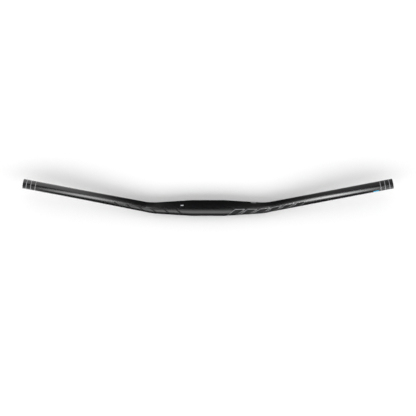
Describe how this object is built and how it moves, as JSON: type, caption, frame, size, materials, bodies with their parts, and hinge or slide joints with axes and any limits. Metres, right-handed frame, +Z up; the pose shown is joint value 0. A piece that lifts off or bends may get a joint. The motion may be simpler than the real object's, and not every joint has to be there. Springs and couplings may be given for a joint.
{
  "type": "riser handlebar",
  "caption": "Wide riser handlebar bent from one aluminium tube: thick where a stem clamps it, tapering to straight round arms that sweep back and up to open grip ends.",
  "frame": {"origin": "centre of the stem clamp zone, on its axis", "axes": "+X along the clamp axis towards the rider's left, +Y back towards the rider, +Z up"},
  "size_m": [0.82, 0.0734, 0.0583],
  "materials": {
    "anodised_tube": "satin"
  },
  "bodies": {
    "root": {"handlebar": "anodised_tube"}
  },
  "joints": []
}
